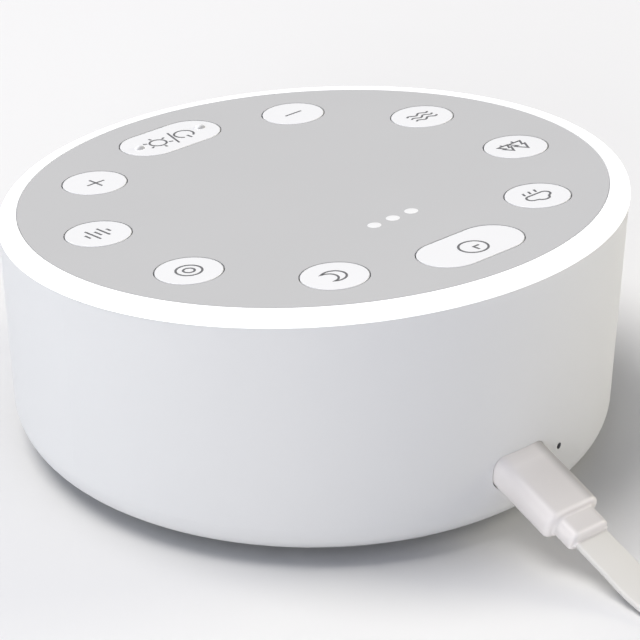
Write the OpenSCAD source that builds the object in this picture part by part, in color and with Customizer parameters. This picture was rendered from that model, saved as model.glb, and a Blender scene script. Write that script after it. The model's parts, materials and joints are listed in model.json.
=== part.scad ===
// White noise sound machine: a round table unit with a sloping keypad, a glowing rim,
// a speaker that plays through the base, and a flat USB lead.
// All sizes are in millimetres. +Z is up, -Y is the user's side, and the origin is the
// middle of the footprint on the table.

/* [Body] */
// Outer diameter at the rim
body_d = 114; // [106:1:130]
// Height from the bottom edge to the middle of the top face
body_h = 44.3; // [42:0.1:60]
// Slope of the top face down towards the user, in degrees
top_tilt = 4.86; // [1:0.02:6]
// Draft of the side wall, in degrees
side_draft = 2.35; // [0.5:0.05:3]
// Radius of the rounded bottom edge
bottom_round = 5.9; // [4:0.1:7]
// Thickness of the side wall
wall = 2.4; // [2:0.1:2.8]
// Air gap under the body that the feet leave
foot_gap = 2; // [1.6:0.1:4]
// Thickness of the base plate
plate_t = 2; // [1.8:0.1:3]
// Width of the flat lip around the base plate
lip_w = 1.8; // [1.2:0.1:2.4]
// Height of the ledge that the base plate closes against
ledge_t = 2; // [1.5:0.1:3]
// Diameter of a rubber foot
foot_d = 12; // [8:0.5:13]

/* [Top] */
// Width of the light ring's top face
ring_w = 3.44; // [3.2:0.02:4.5]
// Height of the light ring's side
ring_edge_h = 2.1; // [1.8:0.1:2.6]
// Rounding of the light ring's top edge
ring_round = 1.5; // [0.5:0.1:1.8]
// Thickness of the grey panel
panel_t = 1.8; // [1.5:0.1:1.8]
// Thickness of the shelf that carries the panel
shelf_t = 1.5; // [1:0.1:1.8]
// Depth of the main board's upper face under the top face
board_depth = 6.7; // [6.6:0.1:8]
// Thickness of the main board
board_t = 1.6; // [1:0.1:2]

/* [Keys] */
// Diameter of a round key
key_d = 11.8; // [9:0.1:12.4]
// Length of a long key
long_key_l = 21.2; // [16:0.1:24]
// Distance from the panel's edge to the circle of key centres
key_inset = 12.46; // [11.5:0.02:15]
// Number of key places around the panel
key_places = 10; // [10:1:10]
// How far a key stands above the panel
key_proud = 0.05; // [0:0.05:0.6]
// Travel of a key
key_travel = 0.6; // [0.2:0.1:0.7]
// Thickness of a key's retaining flange
flange_t = 0.8; // [0.6:0.1:0.9]
// Reach of the flange beyond the key
flange_w = 1.2; // [0.8:0.1:1.6]
// Side of a key switch
switch_w = 6.2; // [5:0.1:7]
// Height of a key switch
switch_h = 2.6; // [2.2:0.1:2.7]

/* [Port] */
// Sideways place of the USB socket
port_x = 1.1; // [-2:0.1:3]
// Height of the USB socket above the table, where it meets the wall
port_h = 13.3; // [13:0.1:16]
// Downward slope of the USB socket, in degrees
port_tilt = 20.4; // [12:0.1:22]
// Width of the USB-C plug's grip
plug_w = 12; // [10:0.1:12.2]
// Thickness of the USB-C plug's grip
plug_t = 6.1; // [5:0.1:6.4]
// Length of the USB-C plug's grip outside the wall
plug_l = 14; // [10:0.1:16]
// Width of the plug's neck
neck_w = 8.8; // [8:0.1:9.6]
// Thickness of the plug's neck
neck_t = 4.3; // [3:0.1:4.6]
// Length of the plug's neck
neck_l = 4.5; // [4:0.1:8]
// Sideways place of the reset pinhole
reset_x = -9.3; // [-9.6:0.1:-9]
// How far the reset button hangs under the USB board
reset_drop = 0.4; // [0.4:0.05:0.8]
// Diameter of the reset pinhole
reset_d = 1.2; // [0.8:0.1:1.4]

/* [Speaker] */
// Diameter of the speaker's flange
speaker_d = 52; // [48:1:56]
// Height of the foam gasket under the flange
gasket_h = 3; // [2.6:0.1:4]
// Depth of the speaker's basket
basket_h = 11; // [10:0.5:12]
// Outer diameter of the magnet
magnet_d = 31; // [26:1:34]
// Height of the magnet
magnet_h = 6; // [4:0.5:7]
// Travel of the cone each way
cone_travel = 0.8; // [0.4:0.1:0.9]
// Diameter of a hole in the base grille
grille_hole_d = 2.6; // [1.6:0.1:3]
// Number of rings of grille holes
grille_rings = 5; // [3:1:5]

/* [Cord] */
// Width of the flat lead
cord_w = 7.4; // [6:0.1:8]
// Thickness of the flat lead
cord_t = 1.2; // [1.2:0.1:2]
// Distance between neighbouring turns of the coil
turn_pitch = 2.7; // [2.6:0.1:3]
// Number of turns in the coil
turns = 4.125; // [3.125:1:4.125]
// Thickness of the tie around the coil
tie_t = 0.6; // [0.4:0.1:0.8]
// Length of the USB-A plug's grip
usb_a_l = 20; // [16:0.5:20]

/* [Clearances] */
// Gap around a key
key_gap = 0.25; // [0.15:0.05:0.4]
// Gap around the USB-C plug in its pocket
pocket_gap = 0.15; // [0.15:0.05:0.6]
// Play of a lid or board in its seat
fit_gap = 0.15; // [0.1:0.05:0.25]
// Radial play of a switch plunger
plunger_gap = 0.06; // [0.04:0.01:0.08]
// Radial play of a screw in the plastic that it bites
thread_gap = 0.02; // [0.01:0.01:0.03]

/* [Hidden] */
$fn = 96;

// Body of revolution: the wall's radius at a height, and the round bottom edge
body_r = body_d / 2;
top_z = foot_gap + body_h;
function wall_r(z) = body_r - (top_z - z) * tan(side_draft);
round_x = wall_r(foot_gap + bottom_round) - bottom_round / cos(side_draft);
round_z = foot_gap + bottom_round;
plate_top = foot_gap + plate_t;
plate_r = round_x - lip_w;
ledge_w = 2.4;
ledge_r = plate_r - ledge_w;
cavity_z = plate_top + ledge_t;

// The top face leans: this puts a point of the leaning frame into the upright one
function tilted(p) = [
    p.x,
    p.y * cos(top_tilt) - p.z * sin(top_tilt),
    top_z + p.y * sin(top_tilt) + p.z * cos(top_tilt)
];
module top_frame() translate([0, 0, top_z]) rotate([top_tilt, 0, 0]) children();

// The leaning plane cuts the drafted wall a little off centre
rim_shift = body_r * tan(side_draft) * tan(top_tilt);
panel_r = body_r - ring_w;
skirt_air = 0.75;
skirt_out = body_r - wall - skirt_air;
skirt_t = 2;
skirt_in = skirt_out - skirt_t;
shelf_w = 1.6;
shelf_r = skirt_in - shelf_w;
board_air = 1.2;
board_r = body_r - wall - board_air;
led_h = 0.8;
led_air = 0.3;
skirt_z = -(board_depth - led_h - led_air);
board_low = -(board_depth + board_t);
led_count = 20;
led_r = (skirt_in + skirt_out) / 2 - 0.4;

// Key places, counted from the far side of the panel towards +X
key_r = key_d / 2;
key_ring_r = panel_r - key_inset;
long_half = (long_key_l - key_d) / 2;
key_names = ["timer", "relax", "calm", "white", "plus", "power", "minus", "ocean", "forest", "rain"];
place_step = 360 / key_places;
function key_long(i) = i == 0 || i == 5;
function place_xy(a, r) = [r * sin(a), r * cos(a)];
function key_xy(i) = place_xy(i * place_step, key_ring_r);
flange_air = 0.3;
flange_low = -(panel_t + flange_air + flange_t);
stem_r = 1.6;
stem_low = flange_low - 0.55;
key_edge = 0.15;
dome_r = 1;
dome_h = 0.6;
dome_place = key_r + 1.5;
bore_low = -board_depth + 0.3;
plunger_low = bore_low + key_travel + 0.1;

// Posts and screws that hold the top together
post_a = [54, 126, 234, 306];
post_r = 3;
post_ring_r = shelf_r - post_r - 0.6;
boss_a = [36, 108, 180, 252, 324];
boss_ring_r = key_ring_r - 16.1;
boss_r = 2.6;
lug_t = 3.2;
lug_w = 8;
lug_play = 0.1;
screw_r = 1.2;
small_screw_r = 0.9;
head_r = 2.2;
head_h = 1.5;
screw_bite = 4.5;
small_head_r = 1.8;
small_screw_bite = 3;
usb_head_r = 1.6;
usb_screw_bite = 4;
recess_w = 0.7;
recess_l = 2.4;
recess_h = 0.6;

// Base plate screws and feet
base_boss_r = 3.2;
base_boss_h = 12;
base_screw_ring = plate_r - base_boss_r - 1.4;
base_screw_a = [28, 152, 208, 332];
base_screw_bite = 8;
sunk_head_h = 1;
foot_ring = plate_r - foot_d / 2 - 3;
foot_a = [51, 129, 231, 309];
foot_seat = 1;
foot_round = 0.6;
grille_pitch = 4.2;

// Speaker, magnet up: heights above the base plate
surround_t = 0.4;
flange_z = plate_top + gasket_h + surround_t;
flange_h = 1;
speaker_r = speaker_d / 2;
basket_top = flange_z + basket_h;
neck_r = speaker_r - 9.4;
cone_r = speaker_r - 7.8;
ear_ring = speaker_r + 3.5;
ear_a = [45, 135, 225, 315];
ear_r = 3;
ear_screw_bite = 3;
top_plate_h = 2;
yoke_h = 2;
pole_r = 6.3;
gap_r = 7.5;
coil_in = 6.65;
coil_out = 6.95;
wire_out = 7.2;
cone_rim_z = flange_z + 0.3;
cone_t = 0.5;
cone_rise = 7.4;
function cone_z(r) = cone_rim_z + (cone_r - r) * cone_rise / (cone_r - coil_out);
spider_z = basket_top - flange_h - 0.4;
magnet_z = basket_top + top_plate_h;
yoke_z = magnet_z + magnet_h;
terminal_x = -(neck_r + 2);
terminal_l = 6.5;
terminal_w = 8;
solder_x = terminal_x - 1.6;

// USB socket: its own leaning frame, square to the wall, +Y outwards along the plug
port_r = wall_r(port_h);
port_a = asin(port_x / port_r);
module port_turn() rotate([0, 0, -port_a]) children();
module port_frame() port_turn() translate([0, port_r, port_h]) rotate([-port_tilt, 0, 0]) children();
function turned(p) = [
    p.x * cos(port_a) + p.y * sin(port_a),
    p.y * cos(port_a) - p.x * sin(port_a),
    p.z
];
function port_point(p) = turned([
    p.x,
    port_r + p.y * cos(port_tilt) + p.z * sin(port_tilt),
    port_h - p.y * sin(port_tilt) + p.z * cos(port_tilt)
]);
plug_seat = 2;
plug_round = 2.4;
neck_round = 1.8;
pocket_drop = 0.1;
socket_w = 8.94;
socket_t = 3.26;
socket_l = 7.3;
socket_front = plug_seat + 0.8;
sheet_t = 0.25;
tongue_w = 8.3;
tongue_t = 2.5;
tongue_l = 6.6;
usb_board_t = 0.6;
usb_board_y0 = -5.5;
usb_board_y1 = -17;
usb_board_z = -socket_t / 2 - usb_board_t;
reset_button_y = usb_board_y0 - 0.4;
reset_h = port_point([0, reset_button_y, usb_board_z - reset_drop]).z;
reset_a = asin(reset_x / wall_r(reset_h));
reset_local_x = (port_r + reset_button_y * cos(port_tilt)) * tan(reset_a - port_a);
reset_switch_w = 3;
reset_switch_l = 3.5;
reset_switch_h = 2.4;
reset_button_r = 0.36;

// The USB board lies on two ribs: one beside the reset switch, one beside the socket
rib_w = 4;
rib_y = 11.6;
rib_l = 7;
rib_air = 0.4;
rib_to_socket = 1.8;
reset_rib_x = reset_local_x - (reset_switch_w + rib_w) / 2 - rib_air;
socket_rib_x = (socket_w + rib_w) / 2 + rib_to_socket;
usb_board_x0 = reset_rib_x - rib_w / 2;
usb_board_w = socket_rib_x + rib_w / 2 - usb_board_x0;

// Connectors that hang under the main board, and the soldered ends of the wires
plug_block = [5, 7, 5];
speaker_plug = [-(speaker_r + 4), 0];
power_plug = [7, 26];
wire_r = 0.6;
wire_gap = 4;
wire_stub = 1;
wire_lift = 5;
sound_chip = [-12, 10, 9, 9, 1.4];
memory_chip = [-12, -4, 5, 6, 1.5];
power_chip = [4, -6, 4, 5, 1.5];
capacitor_x = 31;
capacitor_y = [-6, 3];
capacitor_d = 6.3;
capacitor_h = 7.7;

// Lead: straight out of the neck, down to the table, then a quarter twist onto its edge
cord_exit = port_point([0, plug_l + neck_l, 0]);
exit_dir = turned([0, cos(port_tilt), -sin(port_tilt)]);
edge_z = tie_t + cord_w / 2 + 0.1;
lead_route = [
    [1.66, 84, 2.6, 0],
    [1.73, 87.5, 1.6, 0],
    [1.83, 91, 1, 0],
    [2, 94.5, 0.77, 0],
    [2.35, 98, 0.72, 0],
    [2.8, 101, 1.25, -8],
    [3.4, 104.5, 2.3, -24],
    [3.85, 108, 3.1, -45],
    [4, 111.5, 3.7, -66],
    [3.7, 115, 4.1, -82],
    [3.2, 118.5, edge_z, -90]
];
coil_out_r = 47;
coil_in_r = coil_out_r - turn_pitch * turns;
coil_c = [2.8 - coil_out_r, 122];
// Tail: from the inner turn, round a bend of its own, into the USB-A plug
tail_r = 18;
tail_bend = 135;
tail_run = 12.5;
tail_a = 360 * (turns - floor(turns));
tail_end_a = tail_a + tail_bend;
tail_c = coil_c + (coil_in_r - tail_r) * [cos(tail_a), sin(tail_a)];
tail_dir = [-sin(tail_end_a), cos(tail_end_a)];
bend_end = tail_c + tail_r * [cos(tail_end_a), sin(tail_end_a)];
usb_a_start = bend_end + tail_run * tail_dir;
usb_a_w = 15.4;
usb_a_t = 7.8;
usb_a_z = usb_a_t / 2;
usb_a_shell_w = 12;
usb_a_shell_t = 4.5;
usb_a_shell_l = 12;
usb_a_sheet = 0.3;
usb_a_tongue_t = 1.8;
usb_a_window = 2.2;
tie_a = [143, 157];

// Points of a round stretch
function arc(c, r, a0, a1, n) = [
    for (k = [0 : n]) c + r * [cos(a0 + (a1 - a0) * k / n), sin(a0 + (a1 - a0) * k / n)]
];
function unit(v) = v / norm(v);
function bezier(a, b, c, d, t) =
    pow(1 - t, 3) * a + 3 * t * pow(1 - t, 2) * b + 3 * t * t * (1 - t) * c + pow(t, 3) * d;

// Sweeps a rounded section, 2a wide and 2b thick, along points that carry a roll angle.
// The path never runs along the direction ref
function power_of(v, e) = sign(v) * pow(abs(v), e);
function section_ring(p, t, ref, roll, a, b, e, n) =
    let (side = unit(cross(t, ref)), up = cross(side, t))
    let (w = side * cos(roll) + up * sin(roll), h = up * cos(roll) - side * sin(roll))
    [
        for (k = [0 : n - 1])
            p + w * a * power_of(cos(k * 360 / n), e) + h * b * power_of(sin(k * 360 / n), e)
    ];
function xyz(p) = [p[0], p[1], p[2]];
function heading(path, i) =
    unit(xyz(path[min(i + 1, len(path) - 1)]) - xyz(path[max(i - 1, 0)]));
module swept(path, a, b, e = 1, n = 8, ref = [0, 0, 1]) {
    m = len(path);
    rings = [
        for (i = [0 : m - 1])
            section_ring(xyz(path[i]), heading(path, i), ref, path[i][3], a, b, e, n)
    ];
    sides = [
        for (i = [0 : m - 2])
            for (k = [0 : n - 1])
                for (half = [0, 1])
                    half == 0
                        ? [i * n + k, (i + 1) * n + k, i * n + (k + 1) % n]
                        : [i * n + (k + 1) % n, (i + 1) * n + k, (i + 1) * n + (k + 1) % n]
    ];
    first_cap = [[for (k = [0 : n - 1]) k]];
    last_cap = [[for (k = [0 : n - 1]) m * n - 1 - k]];
    polyhedron([for (r = rings) for (p = r) p], concat(first_cap, sides, last_cap));
}

// A rounded rectangle, and a bar of that section along +Y
module rounded_rect(w, t, r) {
    square([w - 2 * r, t], center = true);
    square([w, t - 2 * r], center = true);
    for (x = [-1, 1]) {
        for (y = [-1, 1]) {
            translate([x * (w / 2 - r), y * (t / 2 - r)]) circle(r);
        }
    }
}
module bar_y(w, t, r, l) rotate([-90, 0, 0]) linear_extrude(l) rounded_rect(w, t, r);
module on_circle(angles, r) {
    for (a = angles) {
        translate([r * sin(a), r * cos(a), 0]) rotate([0, 0, -a]) children();
    }
}
module cross_recess() {
    for (a = [0, 90]) rotate([0, 0, a]) translate([-recess_l / 2, -recess_w / 2, -recess_h])
        cube([recess_l, recess_w, 2 * recess_h]);
}
module screw(shank, reach, head) {
    difference() {
        translate([0, 0, -head_h]) cylinder(r = head, h = head_h);
        translate([0, 0, -head_h]) cross_recess();
    }
    cylinder(r = shank, h = reach);
}

// ---- casing ----

module housing_solid() {
    rotate_extrude() {
        polygon([
            [0, foot_gap],
            [round_x, foot_gap],
            [round_x + bottom_round * cos(side_draft), round_z - bottom_round * sin(side_draft)],
            [wall_r(top_z + body_r), top_z + body_r],
            [0, top_z + body_r]
        ]);
        translate([round_x, round_z]) circle(bottom_round);
    }
}

module housing_cavity() {
    rotate_extrude() {
        polygon([
            [0, foot_gap - 1],
            [plate_r, foot_gap - 1],
            [plate_r, plate_top],
            [ledge_r, plate_top],
            [ledge_r, cavity_z],
            [wall_r(cavity_z) - wall, cavity_z],
            [wall_r(top_z + body_r) - wall, top_z + body_r],
            [0, top_z + body_r]
        ]);
    }
}

module housing_bosses() {
    on_circle(base_screw_a, base_screw_ring) {
        difference() {
            union() {
                translate([0, 0, plate_top]) cylinder(r = base_boss_r, h = base_boss_h);
                translate([-0.8, 0, cavity_z - 1]) cube([1.6, wall_r(cavity_z) - base_screw_ring - 1, 8]);
            }
            translate([0, 0, plate_top - 1]) cylinder(r = screw_r + thread_gap, h = base_boss_h - 1);
        }
    }
    top_frame() {
        on_circle(post_a, 0) {
            difference() {
                translate([-lug_w / 2, post_ring_r - 4, board_low - lug_play - lug_t])
                    cube([lug_w, body_r - 2 - post_ring_r + 4, lug_t]);
                translate([0, post_ring_r, board_low - lug_t - 1]) cylinder(r = screw_r + 0.2, h = lug_t + 2);
            }
        }
    }
}

module port_pocket() {
    port_frame() {
        translate([0, -2 * wall, -pocket_drop])
            bar_y(plug_w + 2 * pocket_gap, plug_t + 2 * pocket_gap, plug_round + pocket_gap, 4 * wall);
    }
}

module housing() {
    color("white") difference() {
        union() {
            difference() {
                housing_solid();
                housing_cavity();
            }
            housing_bosses();
        }
        top_frame() translate([-body_d, -body_d, -ring_edge_h]) cube([2 * body_d, 2 * body_d, body_d]);
        port_pocket();
        rotate([0, 0, -reset_a]) {
            translate([0, wall_r(reset_h) - 2 * wall, reset_h])
                rotate([-90, 0, 0]) cylinder(d = reset_d, h = 4 * wall, $fn = 32);
        }
    }
}

module usb_rib(x) {
    foot_y = sqrt(pow(ledge_r, 2) - pow(abs(x) + rib_w / 2, 2)) - 0.6;
    reach_y = port_r - wall - rib_w - 0.4;
    difference() {
        port_turn() translate([x - rib_w / 2, foot_y - rib_l, plate_top - 0.5]) {
            cube([rib_w, rib_l, port_h]);
            translate([0, 0, ledge_t + 1]) cube([rib_w, reach_y - foot_y + rib_l, port_h]);
        }
        port_frame() translate([x - rib_w, -3 * port_h, usb_board_z]) cube([2 * rib_w, 4 * port_h, port_h]);
        port_frame() translate([x, -rib_y, usb_board_z - 5]) cylinder(r = small_screw_r + thread_gap, h = 6);
    }
}

module base_plate() {
    color("whitesmoke") difference() {
        union() {
            translate([0, 0, foot_gap]) cylinder(r = plate_r - fit_gap, h = plate_t);
            on_circle(ear_a, ear_ring)
                translate([0, 0, plate_top - 0.5]) cylinder(r = ear_r, h = flange_z - plate_top + 0.5);
            usb_rib(reset_rib_x);
            usb_rib(socket_rib_x);
        }
        for (ring = [0 : grille_rings]) {
            for (k = [0 : max(6 * ring, 1) - 1]) {
                rotate([0, 0, k * 60 / max(ring, 1)])
                    translate([ring * grille_pitch, 0, foot_gap - 1])
                        cylinder(d = grille_hole_d, h = plate_t + 2, $fn = 24);
            }
        }
        on_circle(foot_a, foot_ring)
            translate([0, 0, foot_gap - 1]) cylinder(d = foot_d + 2 * fit_gap, h = foot_seat + 1);
        on_circle(base_screw_a, base_screw_ring) {
            translate([0, 0, foot_gap - 1]) cylinder(r = screw_r + 0.2, h = plate_t + 2);
            translate([0, 0, foot_gap - 1]) cylinder(r = head_r + 0.2, h = 2);
        }
        on_circle(ear_a, ear_ring)
            translate([0, 0, plate_top - 1]) cylinder(r = screw_r + thread_gap, h = gasket_h + 3);
    }
}

module feet() {
    color("dimgray") on_circle(foot_a, foot_ring) {
        rotate_extrude() {
            polygon(concat(
                [[0, foot_gap + foot_seat], [0, 0]],
                arc([foot_d / 2 - foot_round, foot_round], foot_round, -90, 0, 4),
                [[foot_d / 2, foot_gap + foot_seat]]
            ));
        }
    }
}

module base_screws() {
    color("silver") on_circle(base_screw_a, base_screw_ring) {
        difference() {
            translate([0, 0, foot_gap]) cylinder(r = head_r, h = sunk_head_h);
            translate([0, 0, foot_gap]) cross_recess();
        }
        translate([0, 0, foot_gap + sunk_head_h])
            cylinder(r = screw_r, h = plate_t + base_screw_bite - sunk_head_h);
    }
}

// ---- top ----

module key_opening(i) {
    p = key_xy(i);
    r = key_r + key_gap;
    translate([p.x, p.y, -panel_t - 1]) {
        if (key_long(i)) {
            translate([-long_half, -r, 0]) cube([2 * long_half, 2 * r, panel_t + 2]);
            for (s = [-1, 1]) translate([s * long_half, 0, 0]) cylinder(r = r, h = panel_t + 2);
        } else {
            cylinder(r = r, h = panel_t + 2);
        }
    }
}

module top_panel() {
    color("lightgray") top_frame() difference() {
        union() {
            translate([0, 0, -panel_t]) cylinder(r = panel_r - fit_gap, h = panel_t);
            on_circle(post_a, post_ring_r)
                translate([0, 0, board_low - lug_play])
                    cylinder(r = post_r, h = lug_play - board_low - panel_t / 2);
            on_circle(boss_a, boss_ring_r)
                translate([0, 0, -board_depth]) cylinder(r = boss_r, h = board_depth - panel_t / 2);
        }
        for (i = [0 : key_places - 1]) key_opening(i);
        on_circle(post_a, post_ring_r)
            translate([0, 0, board_low - 1]) cylinder(r = screw_r + thread_gap, h = -board_low - panel_t);
        on_circle(boss_a, boss_ring_r)
            translate([0, 0, -board_depth - 1])
                cylinder(r = small_screw_r + thread_gap, h = board_depth - panel_t);
    }
}

module panel_screws() {
    color("silver") top_frame() on_circle(post_a, post_ring_r)
        translate([0, 0, board_low - lug_play - lug_t]) screw(screw_r, lug_t + screw_bite, head_r);
}

module light_ring() {
    color("ivory") top_frame() difference() {
        union() {
            translate([0, rim_shift, 0]) rotate_extrude() {
                polygon(concat(
                    [[0, 0], [0, -ring_edge_h], [body_r, -ring_edge_h]],
                    arc([body_r - ring_round, -ring_round], ring_round, 0, 90, 8)
                ));
            }
            translate([0, 0, skirt_z]) cylinder(r = skirt_out, h = -skirt_z - 1);
        }
        translate([0, 0, -panel_t]) cylinder(r = panel_r, h = panel_t + 1);
        translate([0, 0, skirt_z - 1]) cylinder(r = shelf_r, h = -skirt_z + 1);
        translate([0, 0, skirt_z - 1]) cylinder(r = skirt_in, h = -skirt_z + 1 - panel_t - shelf_t);
    }
}

module light_shield() {
    color("white") top_frame() difference() {
        translate([0, 0, -board_depth]) cylinder(r = skirt_in - 0.6, h = board_depth - panel_t - shelf_t);
        translate([0, 0, -board_depth - 1]) cylinder(r = shelf_r + 0.1, h = board_depth);
    }
}

module main_board() {
    color("seagreen") top_frame() difference() {
        translate([0, 0, board_low]) cylinder(r = board_r, h = board_t);
        on_circle(post_a, post_ring_r)
            translate([0, 0, board_low - 1]) cylinder(r = post_r + 0.3, h = board_t + 2);
        on_circle(boss_a, boss_ring_r)
            translate([0, 0, board_low - 1]) cylinder(r = small_screw_r + 0.2, h = board_t + 2);
    }
}

module board_screws() {
    color("silver") {
        top_frame() on_circle(boss_a, boss_ring_r)
            translate([0, 0, board_low]) screw(small_screw_r, board_t + small_screw_bite, small_head_r);
        for (x = [reset_rib_x, socket_rib_x]) {
            port_frame() translate([x, -rib_y, usb_board_z + usb_board_t])
                mirror([0, 0, 1]) screw(small_screw_r, usb_board_t + usb_screw_bite, usb_head_r);
        }
    }
}

module ring_leds() {
    color("gold") top_frame() on_circle([for (k = [0 : led_count - 1]) k * 360 / led_count], led_r)
        translate([-1.6, -0.8, -board_depth]) cube([3.2, 1.6, led_h]);
}

module key_switches() {
    color("dimgray") top_frame() for (i = [0 : key_places - 1]) {
        translate([key_xy(i).x, key_xy(i).y, 0]) difference() {
            translate([-switch_w / 2, -switch_w / 2, -board_depth]) cube([switch_w, switch_w, switch_h]);
            translate([0, 0, bore_low]) cylinder(r = stem_r + plunger_gap, h = switch_h + 1);
        }
    }
}

// Each chip: place, then width, length and height
module board_chips() {
    color("black") top_frame() for (c = [sound_chip, memory_chip, power_chip]) {
        translate([c[0] - c[2] / 2, c[1] - c[3] / 2, board_low - c[4]]) cube([c[2], c[3], c[4]]);
    }
}

module capacitors() {
    color("slategray") top_frame() for (y = capacitor_y) {
        translate([capacitor_x, y, board_low - capacitor_h]) cylinder(d = capacitor_d, h = capacitor_h);
    }
}

module board_connectors() {
    color("ivory") top_frame() for (p = [speaker_plug, power_plug]) {
        translate([p.x - plug_block.x / 2, p.y - plug_block.y / 2, board_low - plug_block.z])
            cube(plug_block);
    }
}

// ---- keys ----

key_profile = concat(
    [[0, flange_low], [key_r + flange_w, flange_low], [key_r + flange_w, flange_low + flange_t]],
    [[key_r, flange_low + flange_t]],
    arc([key_r - key_edge, key_proud - key_edge], key_edge, 0, 90, 6),
    [[0, key_proud]]
);

// Two small domes that a finger finds on the power key
dome_sphere_r = (dome_r * dome_r + dome_h * dome_h) / (2 * dome_h);
dome_span = asin(dome_r / dome_sphere_r);
dome_profile = concat(
    [[0, -dome_h], [dome_r, -dome_h]],
    arc([0, dome_h - dome_sphere_r], dome_sphere_r, 90 - dome_span, 90, 6)
);

module key_cap(i) {
    color("white") top_frame() translate([key_xy(i).x, key_xy(i).y, 0]) {
        if (key_long(i)) {
            for (s = [-1, 1]) translate([s * long_half, 0, 0]) rotate_extrude() polygon(key_profile);
            rotate([90, 0, 90]) linear_extrude(2 * long_half, center = true) {
                polygon(key_profile);
                mirror([1, 0]) polygon(key_profile);
            }
        } else {
            rotate_extrude() polygon(key_profile);
        }
        translate([0, 0, stem_low]) cylinder(r = stem_r, h = flange_low - stem_low + 0.4);
        if (key_names[i] == "power") {
            for (s = [-1, 1])
                translate([s * dome_place, 0, key_proud]) rotate_extrude() polygon(dome_profile);
        }
    }
}

module plunger(i) {
    color("gray") top_frame() translate([key_xy(i).x, key_xy(i).y, plunger_low])
        cylinder(r = stem_r, h = stem_low - plunger_low);
}

// ---- speaker ----

module grille_mesh() {
    color("black") translate([0, 0, plate_top]) cylinder(r = speaker_r - 3.5, h = 0.35);
}

module speaker_gasket() {
    color("black") translate([0, 0, plate_top]) difference() {
        cylinder(r = speaker_r - 0.2, h = gasket_h);
        translate([0, 0, -1]) cylinder(r = speaker_r - 3.3, h = gasket_h + 2);
    }
}

module speaker_frame() {
    color("darkgray") difference() {
        union() {
            rotate_extrude() {
                polygon([
                    [speaker_r - 3.8, flange_z],
                    [speaker_r, flange_z],
                    [speaker_r, flange_z + flange_h],
                    [speaker_r - 2.6, flange_z + flange_h],
                    [neck_r, basket_top - flange_h],
                    [neck_r, basket_top],
                    [gap_r + 2, basket_top],
                    [gap_r + 2, basket_top - flange_h],
                    [neck_r - 1.2, basket_top - flange_h]
                ]);
            }
            on_circle(ear_a, 0) {
                translate([-ear_r, speaker_r - 2, flange_z])
                    cube([2 * ear_r, ear_ring - speaker_r + 2, flange_h]);
                translate([0, ear_ring, flange_z]) cylinder(r = ear_r, h = flange_h);
            }
            translate([terminal_x - 3, -terminal_w / 2, basket_top - flange_h])
                cube([terminal_l, terminal_w, flange_h]);
        }
        on_circle(ear_a, ear_ring)
            translate([0, 0, flange_z - 1]) cylinder(r = screw_r + 0.2, h = flange_h + 2);
        on_circle([22.5, 67.5, 112.5, 157.5, 202.5, 247.5, 292.5, 337.5], 0)
            translate([-3, neck_r - 1, flange_z + 3.4]) cube([6, 8, basket_h - 6.2]);
    }
}

module speaker_screws() {
    color("silver") on_circle(ear_a, ear_ring)
        translate([0, 0, flange_z + flange_h])
            mirror([0, 0, 1]) screw(screw_r, flange_h + ear_screw_bite, head_r);
}

module speaker_surround() {
    mid = (cone_r + speaker_r - 3.8) / 2;
    half = (speaker_r - 3.8 - cone_r) / 2;
    roll_z = flange_z - surround_t;
    color("black") rotate_extrude() {
        polygon(concat(
            [[cone_r - 1.4, roll_z], [mid - half + 0.1, roll_z]],
            arc([mid, roll_z], half - 0.1, 180, 360, 12),
            [[speaker_r - 0.6, roll_z], [speaker_r - 0.6, flange_z], [mid + half - 0.5, flange_z]],
            arc([mid, roll_z], half - 0.1 - surround_t, 360, 180, 12),
            [[mid - half + 0.5, flange_z], [cone_r - 1.4, flange_z]]
        ));
    }
}

module speaker_cone() {
    color("dimgray") rotate_extrude() {
        polygon([
            [cone_r, cone_rim_z - 0.3],
            [cone_r, cone_rim_z + cone_t],
            [coil_out, cone_z(coil_out) + cone_t],
            [coil_out, cone_z(coil_out)],
            [cone_r - 1.4, cone_z(cone_r - 1.4)],
            [cone_r - 1.4, cone_rim_z - 0.3]
        ]);
    }
}

module dust_cap() {
    rim_r = 8.4;
    low = cone_z(rim_r);
    color("black") rotate_extrude() {
        polygon(concat(
            [for (k = [0 : 8]) [rim_r * sin(k * 90 / 8), low - 2.6 * cos(k * 90 / 8)]],
            [for (k = [8 : -1 : 0]) [(rim_r - 0.4) * sin(k * 90 / 8), low - 2.2 * cos(k * 90 / 8)]]
        ));
    }
}

module voice_coil() {
    low = cone_z(coil_out) - 0.4;
    winding_low = basket_top - cone_travel;
    top = basket_top + top_plate_h + cone_travel;
    color("peru") difference() {
        union() {
            translate([0, 0, low]) cylinder(r = coil_out, h = top - low);
            translate([0, 0, winding_low]) cylinder(r = wire_out, h = top - winding_low);
        }
        translate([0, 0, low - 1]) cylinder(r = coil_in, h = top);
    }
}

module speaker_spider() {
    steps = 24;
    inner = coil_out;
    outer = neck_r - 1.4;
    wave = [
        for (k = [0 : steps])
            [inner + (outer - inner) * k / steps, spider_z - 0.3 * (1 - cos(k * 360 * 3 / steps)) / 2]
    ];
    color("burlywood") rotate_extrude() {
        polygon(concat(
            [for (p = wave) p - [0, 0.25]],
            [[outer, basket_top - flange_h], [outer - 1.2, basket_top - flange_h]],
            [for (k = [steps - 3 : -1 : 0]) wave[k]]
        ));
    }
}

module speaker_top_plate() {
    color("silver") translate([0, 0, basket_top]) difference() {
        cylinder(d = magnet_d - 1, h = top_plate_h);
        translate([0, 0, -1]) cylinder(r = gap_r, h = top_plate_h + 2);
    }
}

module speaker_magnet() {
    color("dimgray") translate([0, 0, magnet_z]) difference() {
        cylinder(d = magnet_d, h = magnet_h);
        translate([0, 0, -1]) cylinder(r = gap_r + 1.4, h = magnet_h + 2);
    }
}

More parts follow.
